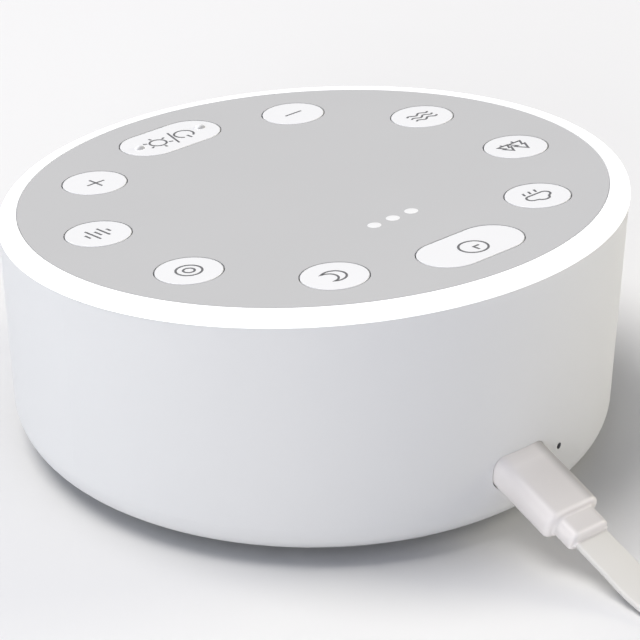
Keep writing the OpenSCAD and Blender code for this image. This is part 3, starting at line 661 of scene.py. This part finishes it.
def swept(path, outline):
    """Rings in metres, along a path of (x, y, z, roll) in millimetres and degrees."""
    rings = []
    for i, (x, y, z, roll) in enumerate(path):
        before, after = path[max(i - 1, 0)], path[min(i + 1, len(path) - 1)]
        ahead = Vector([b - a for a, b in zip(before[:3], after[:3])]).normalized()
        side = ahead.cross(Vector((0, 0, 1))).normalized()
        above = side.cross(ahead)
        turn = math.radians(roll)
        wide = side * math.cos(turn) + above * math.sin(turn)
        thick = above * math.cos(turn) - side * math.sin(turn)
        centre = Vector((x, y, z))
        rings.append([(centre + wide * u + thick * v) * MM for u, v in outline])
    return rings


cord_path = smooth(first_run + lead_route, 5)[:-1]
cord_path += smooth([lead_route[-1], *coil_points()], 2)[:-1]
cord_path += smooth([coil_points()[-1], *tail_points()], 4)
cord_section = rounded_outline(cord_width, cord_thickness, radius=0.5, steps=3)
cord = piece("flat_lead", *skin(swept(cord_path, cord_section)), "cord_white")
run = sum((Vector(b[:3]) - Vector(a[:3])).length for a, b in zip(cord_path, cord_path[1:]))
print("lead is", round(run), "mm long, in", len(cord_path), "rings")

# %% [markdown]
# ## The USB-C plug
# The plug's grip is a soft-edged block with a narrower neck that steps down to the cable.
# The CAD block has the size and the sharp steps. A loft gives the same block its rounded
# shoulders, where the outline shrinks along a quarter of a circle, and a small hollow curve
# where the neck grows out of the grip and the cable out of the neck.

# %% Loft a plug grip
least_corner = 0.2


def shouldered(low, high, width, height, radius, round_low, round_high, steps=5):
    """Sections of a bar from low to high whose ends are rounded: (place, outline)."""
    sections = []
    for k in range(steps + 1):
        angle = math.radians(90 * k / steps)
        inset = round_low * (1 - math.sin(angle))
        sections.append((low + round_low * (1 - math.cos(angle)), inset))
    for k in range(steps + 1):
        angle = math.radians(90 * k / steps)
        inset = round_high * (1 - math.cos(angle))
        sections.append((high - round_high * (1 - math.sin(angle)), inset))
    made = []
    for at, inset in sections:
        corner = max(radius - inset, least_corner)
        made.append((at, rounded_outline(width - 2 * inset, height - 2 * inset, corner)))
    return made


def placed(sections, origin, ahead, side, above):
    """Rings in metres from sections along a direction."""
    return [
        [(origin + ahead * at + side * u + above * v) * MM for u, v in outline]
        for at, outline in sections
    ]


def flared(start, width, height, radius, flare, steps=5):
    """Sections of a hollow curve that runs from a face into a narrower bar."""
    made = []
    for k in range(steps + 1):
        angle = math.radians(90 * k / steps)
        out = flare * (1 - math.sin(angle))
        outline = rounded_outline(width + 2 * out, height + 2 * out, radius + out)
        made.append((start + flare * (1 - math.cos(angle)), outline))
    return made


print("a block with two shoulders has", len(shouldered(0, 4, 4, 4, 1, 1, 1)), "sections")

# %% [markdown]
# The grip is the thickest part and starts a little inside its pocket in the wall. The neck
# follows with a rounded end, and a short hollow sleeve runs out onto the cable, so no dark
# line shows at either step. All sections stand square to the port's axis.

# %% Measure out the plug
sleeve_play, neck_shoulder = 0.1, 1
grip_size = {"width": 12.0, "height": 6.1, "radius": 2.4}
neck_size = {"width": 8.8, "height": 4.3, "radius": 1.8}
sleeve_size = {
    "width": cord_width + sleeve_play, "height": cord_thickness + sleeve_play, "radius": 0.55,
}
neck_end = grip_length + neck_length
grip = shouldered(-grip_seat, grip_length, **grip_size, round_low=0.2, round_high=1.0)
neck = flared(grip_length, **neck_size, flare=0.55)
neck += shouldered(
    neck_end - neck_shoulder, neck_end, **neck_size, round_low=0, round_high=0.8,
)
sleeve = flared(neck_end, **sleeve_size, flare=0.5)
plug_rings = placed(grip + neck + sleeve, port_mouth, port_out, port_side, port_up)
print("the plug has", len(plug_rings), "sections")

# %% [markdown]
# Light and shade are painted into this plug's colour, and only into this one. Its flat top is painted greyer than
# its flanks as painted shade, and one long edge gets a darker band of painted shade. Close to the wall and on the
# shoulders that face outwards the colour is painted brighter, as painted light. All of that is a share of the
# plain colour, worked out from how far a point lies from the port's mouth and which way its face looks.

# %% Paint light and shade onto the plug
painted_light_ceiling, top_painted_shade, edge_painted_shade = 1.15, 0.2, 0.45
flank_painted_light, flank_light_fade = 0.2, 3
top_painted_light, top_light_fade = 0.5, 5
edge_from, edge_width = 2.3, 2.6
top_from, top_steepness, edge_steepness, shoulder_steepness = 0.85, 7.5, 1.7, 1.5


def painted_plug_light():
    """Plug plastic with painted shade on its flat top and along one long edge, and painted light near the wall and
    on the outward shoulders.
    """
    made = plug_plastic("plug_grip")
    mouth = tuple(port_mouth * -MM)
    from_mouth = made.node("ShaderNodeVectorMath", {"operation": "ADD"}, [made.place(), mouth])
    outward = made.along(from_mouth, port_out) * (1 / MM)
    aside = made.along(from_mouth, port_side) * (1 / MM)
    normal = made.node("ShaderNodeTexCoord", output="Normal")
    facing_up, facing_out = made.along(normal, port_up), made.along(normal, port_out)
    top = ((facing_up - top_from) * top_steepness).clamped()
    flank = (outward * (-1 / flank_light_fade)).math("EXPONENT") * flank_painted_light + 1
    upper = (outward * (-1 / top_light_fade)).math("EXPONENT") * top_painted_light + (1 - top_painted_shade)
    at_edge = ((-edge_from - aside) * (1 / edge_width)).smooth()
    edge_shade = at_edge * (facing_up * edge_steepness).clamped()
    # The share is painted shade on the top and the long edge, and painted light near the wall.
    share = (flank + (upper - flank) * top).clamped(0.0, painted_light_ceiling) * (1 - edge_shade * edge_painted_shade)
    share = share + (painted_light_ceiling - share) * (facing_out * shoulder_steepness).clamped()
    painted_light_white = tuple(part * painted_light_ceiling for part in plug_white)
    made.set("Base Color", made.mix(share * (1 / painted_light_ceiling), dark, painted_light_white))
    return made


finishes["plug_grip"] = painted_plug_light()
plug = piece("usb_c_grip", *skin(plug_rings), "plug_grip", crease=50)
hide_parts("usb_c_plug")
# The grip's colour carries painted light and painted shade.
print("worn plastic on", plug.name)

# %% [markdown]
# ## The USB-A plug
# At the far end the cable goes into the larger, older plug. Its grip is lofted in the same
# way, and its CAD shell is already a bent metal box with two windows and a tongue inside.

# %% The far plug
usb_a_start = Vector((usb_a_middle.x, usb_a_high.y, usb_a_middle.z))
ahead, side, above = Vector((0, -1, 0)), Vector((1, 0, 0)), Vector((0, 0, 1))
usb_a_sections = shouldered(
    0, usb_a_size.y, width=usb_a_size.x, height=usb_a_size.z, radius=2.2,
    round_low=1.0, round_high=0.5,
)
usb_a_rings = placed(usb_a_sections, usb_a_start, ahead, side, above)
usb_a = piece("usb_a_grip", *skin(usb_a_rings), "plug_white")
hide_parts("usb_a_plug")
print("far plug is", round(usb_a_size.y, 1), "mm long")

# %% [markdown]
# ## The tie
# A strap of hook-and-loop tape goes once around all the turns and closes on itself on top.
# It is a thin strip that follows the coil's section: from the top down the inside, under the
# turns, up the outside and back over the top, where its end lies on its start.

# %% Strap the coil
strap_half_width, strap_half_thickness = 5.0, 0.26
strap_low, strap_over, strap_beside, strap_corner = 0.32, 0.5, 0.35, 0.9
strap_start, strap_lap = 0.45, ((0.75, 0.05), (0.5, 0.58), (0.12, 0.58))


def strap_line(steps=4):
    """Points in (radius, height) around the coil's section, with rounded corners."""
    low, high, corner = strap_low, cord_width + tie_thickness + strap_over, strap_corner
    inner = coil_in - cord_thickness / 2 - strap_beside
    outer = coil_out + cord_thickness / 2 + strap_beside
    line = [(inner + strap_start * (outer - inner), high)]
    for cx, cy, start in (
        (inner + corner, high - corner, 90),
        (inner + corner, low + corner, 180),
        (outer - corner, low + corner, 270),
        (outer - corner, high - corner, 360),
    ):
        for k in range(steps + 1):
            angle = math.radians(start + 90 * k / steps)
            line.append((cx + corner * math.cos(angle), cy + corner * math.sin(angle)))
    line += [(inner + share * (outer - inner), high + rise) for share, rise in strap_lap]
    return line


def strap():
    line = strap_line()
    outward = around(Vector((0, 0)), 1, tie_middle)
    across = around(Vector((0, 0)), 1, tie_middle + 90)
    rings = []
    for i, (r, z) in enumerate(line):
        before, after = line[max(i - 1, 0)], line[min(i + 1, len(line) - 1)]
        heading = Vector((after[0] - before[0], after[1] - before[1])).normalized()
        normal = Vector((-heading.y, heading.x)) * strap_half_thickness
        ring = []
        for side, face in ((1, 1), (1, -1), (-1, -1), (-1, 1)):
            flat = coil_centre + outward * (r + face * normal.x)
            flat += across * side * strap_half_width
            ring.append(Vector((flat.x, flat.y, z + face * normal.y)) * MM)
        rings.append(ring)
    return skin(rings)


tie = piece("coil_tie", *strap(), "tie_grey")
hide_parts("cord_tie")
print("strap goes through", len(strap_line()), "points")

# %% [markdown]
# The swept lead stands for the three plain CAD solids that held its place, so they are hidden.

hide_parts("cord_lead", "cord_coil", "cord_tail")

# %% [markdown]
# ## How high the keys stand
# The keypad lies in the sloping plane, and the highest point of a plain key, measured square
# to it, is where its printed mark lies. The power key also has two small domes that a finger
# finds in the dark: what rises above the height of a plain key belongs to them.

# %% Find the keys' height and the domes
least_rise = 0.01 * MM
panel_top = panel_high.z
key_top = leaning_box("key_relax")[1].z
raised = [point for point in leaning_points("key_power") if point.z > key_top + least_rise]
raised_low, raised_high = box_of(raised)
dome_middle = (raised_low + raised_high) / 2
dome_radius = (raised_high.y - raised_low.y) / 2
dome_place = (raised_high.x - raised_low.x) / 2 - dome_radius
print("keys stand proud by", round((key_top - panel_top) / MM, 2), "mm, domes by",
      round((raised_high.z - key_top) / MM, 2), "mm more")

# %% [markdown]
# Each dome gets a grey crescent on one flank: painted shade, placed where a dome's own shade falls. So the key
# gets a copy of the keys' plastic whose colour depends on where a point lies on its dome. One formula serves both
# domes, because the SIGN of x folds the two places onto one.

# %% Paint shade on the domes
dome_shade_grey, dome_shade_towards = (0.44, 0.44, 0.45), Vector((0.14, 0.99))
dome_shade_from, dome_shade_steepness, dome_foot = 0.15, 1.7, 0.015 * MM


def domed():
    made = key_plastic("key_domed")
    x, y, z = made.axes()
    across = y * math.cos(slope) + z * math.sin(slope) - dome_middle.y
    height = z * math.cos(slope) - y * math.sin(slope) - key_top
    aside = x - dome_middle.x
    aside = aside - aside.math("SIGN") * dome_place
    share = (aside * dome_shade_towards.x + across * dome_shade_towards.y) * (1 / dome_radius)
    # The grey crescent is painted shade on the dome's flank.
    share = ((share - dome_shade_from) * dome_shade_steepness).clamped() * (height > dome_foot)
    made.set("Base Color", made.mix(share, key_white, dome_shade_grey))
    return made


finishes["key_domed"] = domed()
nodes["key_power"].data.materials[0] = finishes["key_domed"].material
print("domes are", round(2 * dome_place / MM, 1), "mm apart")

# %% [markdown]
# ## Marks on the keys
# The marks are thin grey print, four tenths of a millimetre wide. They could be a texture,
# but print that is real geometry stays sharp at any distance and exports as it is. A mark is
# a list of strokes, and a stroke is a line of points that is widened and given a hair of
# thickness.

# %% Turn strokes into print
ink_width, ink_height, least_mitre = 0.41, 0.03, 0.35
finishes["ink_grey"] = moulded("ink_grey", (0.17, 0.17, 0.175), 0.6, depth=0.001 * MM)


def arc(x, y, radius, start, end, steps=24):
    angles = [math.radians(start + (end - start) * k / steps) for k in range(steps + 1)]
    return [(x + radius * math.cos(a), y + radius * math.sin(a)) for a in angles]


def widened(line, width):
    """Left and right edges of a stroke, mitred at its corners."""
    closed = (Vector(line[0]) - Vector(line[-1])).length < 1e-6
    edges = []
    for i, point in enumerate(line):
        before = line[i - 1] if i else (line[-2] if closed else None)
        after = line[i + 1] if i < len(line) - 1 else (line[1] if closed else None)
        headings = []
        if before:
            headings.append((Vector(point) - Vector(before)).normalized())
        if after:
            headings.append((Vector(after) - Vector(point)).normalized())
        mean = sum(headings, Vector((0, 0))).normalized()
        normal = Vector((-mean.y, mean.x))
        straight = Vector((-headings[0].y, headings[0].x))
        reach = width / 2 / max(normal.dot(straight), least_mitre)
        edges.append((Vector(point) + normal * reach, Vector(point) - normal * reach))
    return edges


def printed(name, strokes, centre, body):
    """One mark, made of strokes in millimetres around a centre in the sloping frame."""
    points, faces = [], []
    low, high = key_top / MM - ink_height, key_top / MM + ink_height
    for line in strokes:
        rings = []
        for left, right in widened(line, ink_width):
            left, right = left + centre, right + centre
            rings.append([(*left, high), (*left, low), (*right, low), (*right, high)])
        more_points, more_faces = skin(rings)
        offset = len(points)
        points += [lean @ (Vector(point) * MM) for point in more_points]
        faces += [tuple(offset + corner for corner in face) for face in more_faces]
    return piece(name, points, faces, "ink_grey", body, crease=20)


print("a stroke is", ink_width, "mm wide")

# %% [markdown]
# ## Pictures for ten keys
# Two keys set the loudness, one dims the ring and switches it off, and one is a timer. The
# six others choose a sound, and each gets a plain picture: drops under a cloud, fir trees,
# waves, a moon, ripples, and the bars of noise. They are drawn for a reader on the user's side.

# %% Draw the pictures
def sun(x, y, radius=1.65, rays=6, ray_ends=(2.1, 2.9)):
    strokes = [arc(x, y, radius, 0, 360)]
    for k in range(rays):
        angle = math.radians(90 + 360 * k / rays)
        ray = Vector((math.cos(angle), math.sin(angle)))
        strokes.append([tuple(Vector((x, y)) + ray * reach) for reach in ray_ends])
    return strokes


def power_sign(x, y, radius=1.9):
    return [arc(x, y, radius, 122, 418), [(x, y + 1.0), (x, y + 2.45)]]


def clock(x, y, radius=2.6):
    hands = [(x - 1.25, y), (x, y), (x, y + 1.5)]
    return [arc(x, y, radius, 0, 360, 40), hands]


def cloud_and_drops():
    cloud = arc(-1.5, 0.3, 1.0, 270, 110, 10) + arc(0, 1.1, 1.35, 160, 25, 12)
    cloud += arc(1.7, 0.4, 1.1, 60, -90, 12) + [(-1.5, -0.7)]
    drops = [[(x + 0.3, -1.35), (x - 0.15, -2.45)] for x in (-1.3, 0.1, 1.5)]
    return [cloud, *drops]


def fir(x, y, size):
    flank = [(1.25, 0.1), (0.55, 0.1), (1.5, -1.5)]
    outline = [(0, 2.3), *flank, *[(-px, py) for px, py in reversed(flank)], (0, 2.3)]
    crown = [(x + size * px, y + size * py) for px, py in outline]
    return [crown, [(x, y - 1.5 * size), (x, y - 2.35 * size)]]


def sea(rows=3, pitch=1.35, swell=0.38):
    line = [(-2.6 + 0.2 * k, swell * math.sin(math.tau * k / 13)) for k in range(27)]
    return [[(x, y + pitch * (row - 1)) for x, y in line] for row in range(rows)]


def moon():
    outer = arc(0.2, 0, 2.2, 55, 305, 30)
    inner = arc(1.5, 0, 1.8, 270, 95, 24)
    return [outer + inner + [outer[0]]]


def ripples(radii=(1.0, 2.3)):
    return [arc(0, 0, radius, 0, 360, 32) for radius in radii]


def noise_bars(pitch=1.15, heights=(1.3, 3.9, 2.1, 4.7, 1.7)):
    return [[(pitch * (k - 2), -h / 2), (pitch * (k - 2), h / 2)] for k, h in enumerate(heights)]


slash = [(-1.17, -2.38), (0.5, 3.39)]
marks = {
    "timer": clock(0, 0.7),
    "power": sun(3.3, 0.42) + power_sign(-3.0, 0.4) + [slash],
    "plus": [[(-1.95, 0.35), (1.95, 0.35)], [(0, -1.6), (0, 2.3)]],
    "minus": [[(-2.0, 0.1), (2.0, 0.1)]],
    "rain": cloud_and_drops(),
    "forest": fir(-1.1, -0.1, 1.0) + fir(1.7, -0.55, 0.8),
    "ocean": sea(),
    "relax": moon(),
    "calm": ripples(),
    "white": noise_bars(),
}
print("pictures:", ", ".join(marks))

# %% [markdown]
# A picture sits in the middle of its key and rides on the key's own body, so it goes down
# with the key. Each node of a key is named after its sound or job, and a loop over the
# pictures finds the key, its middle and its body by that name.

# %% Print them on their keys
key_centres = {}
for name, strokes in marks.items():
    low, high = leaning_box("key_" + name)
    key_centres[name] = ((low + high) / 2 / MM).to_2d()
    printed("mark_" + name, strokes, key_centres[name], name + "_key")
print("key circle radius:", round(key_centres["relax"].length, 1), "mm")

# %% [markdown]
# ## Three dots on the panel
# Between the middle of the panel and the timer key sits a small plain mark: three white
# dots, let into the panel like indicator windows. Each is a thin lens, so that it catches
# the light at its edge.

# %% Inlay the dots
dot_pitch, dot_row, dot_radius, dot_crown, dot_sink = 4.4, 25.4, 1.25, 0.04, 0.05
finishes["dot_white"] = moulded("dot_white", (0.97, 0.97, 0.97), 0.4)


def circle(x, y, radius, sides):
    angles = [math.tau * n / sides for n in range(sides)]
    return [(x + radius * math.cos(a), y + radius * math.sin(a)) for a in angles]


def lens(x, y, surface, rings=4, sides=32, tip=0.02):
    """Points and faces of a shallow dome in the sloping frame."""
    foot = surface - dot_sink
    sections = [[(*spot, foot) for spot in circle(x, y, dot_radius, sides)]]
    for k in range(rings + 1):
        angle = math.radians(90 * k / rings)
        reach, rise = max(dot_radius * math.cos(angle), tip), dot_crown * math.sin(angle)
        sections.append([(*spot, surface + rise) for spot in circle(x, y, reach, sides)])
    points, faces = skin(sections)
    return [lean @ (Vector(point) * MM) for point in points], faces


for k in (-1, 0, 1):
    dot = lens(dot_pitch * k, dot_row, panel_top / MM)
    piece("panel_dot_" + str(k + 2), *dot, "dot_white", crease=60)
print("three dots inlaid")

# %% [markdown]
# ## The table
# The machine stands on a pale seamless table, which is one large square with its edges far outside the view. Its
# paper is painted grey close to the machine and grows paler outwards. This painted shadow around the machine's
# foot makes the machine's soft shadow deep where it stands, and the shadow still fades into a bright ground.

# %% Set the table
paper_white, painted_shadow_grey = (0.868, 0.868, 0.878), (0.68, 0.68, 0.685)
painted_shadow_reach, painted_shadow_fade = 55 * MM, 30 * MM


def table_top(half=3.0):
    corners = [(-half, -half, 0), (half, -half, 0), (half, half, 0), (-half, half, 0)]
    mesh = bpy.data.meshes.new("table")
    mesh.from_pydata(corners, [], [(0, 1, 2, 3)])
    made = bpy.data.objects.new("table", mesh)
    scene.collection.objects.link(made)
    finish = Finish("table_paper", paper_white, 0.9, specular_ior_level=0.1)
    x, y = finish.axes()[:2]
    distance = (x * x + y * y).math("SQRT")
    # Painted shadow: the paper is greyer within reach of the machine's foot.
    close = ((painted_shadow_reach - distance) * (1 / painted_shadow_fade)).math("EXPONENT").clamped()
    finish.set("Base Color", finish.mix(close, paper_white, painted_shadow_grey))
    mesh.materials.append(finish.material)
    made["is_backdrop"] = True
    return made


table_top()
print("table set")

# %% [markdown]
# ## The light
# A large lamp high on the left, like a window, gives the wall its soft turn from light to
# grey and lays a shadow on the right. A small box low on the left and one beside the camera
# open up the wall, and a warm reflector behind on the right keeps that side from going dull.
# A faint bluish sky fills in the rest. Each lamp says its turn from the camera and its
# elevation in degrees, its distance and size in metres, its power in watts and its colour.

# %% Hang the lamps
def lamp(name, turn, elevation, distance, size, power, colour):
    data = bpy.data.lights.new(name, "AREA")
    data.shape = "DISK"
    data.size = size
    data.energy = power
    data.color = colour
    made = bpy.data.objects.new(name, data)
    scene.collection.objects.link(made)
    towards = direction(view_azimuth + math.radians(turn), math.radians(elevation))
    made.location = towards * distance
    made.rotation_mode = "QUATERNION"
    made.rotation_quaternion = towards.to_track_quat("Z", "Y")
    return made


lamp("window", -90, 70, 3.0, 1.8, 72.5, (1.027, 1.0, 0.953))
lamp("left_box", -95, 16, 2.4, 1.2, 6.5, (0.86, 1.0, 1.07))
lamp("front_box", -15, 14, 2.4, 1.0, 16, (0.99, 1.0, 0.99))
lamp("reflector", 110, 20, 2.4, 1.2, 23.8, (1.06, 1.0, 0.78))
sky_colour, sky_strength = (0.9, 1.0, 1.4, 1.0), 0.15
scene.world = bpy.data.worlds.new("sky")
scene.world.use_nodes = True
sky = scene.world.node_tree.nodes["Background"]
sky.inputs["Color"].default_value = sky_colour
sky.inputs["Strength"].default_value = sky_strength
scene.view_settings.view_transform = "Standard"

# %% [markdown]
# ## The dressed box
# The last step measures the dressed box and prints its size in millimetres.

# %% Finish
low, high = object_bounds()
print("dressed box in mm:", [round(side / MM, 1) for side in high - low])
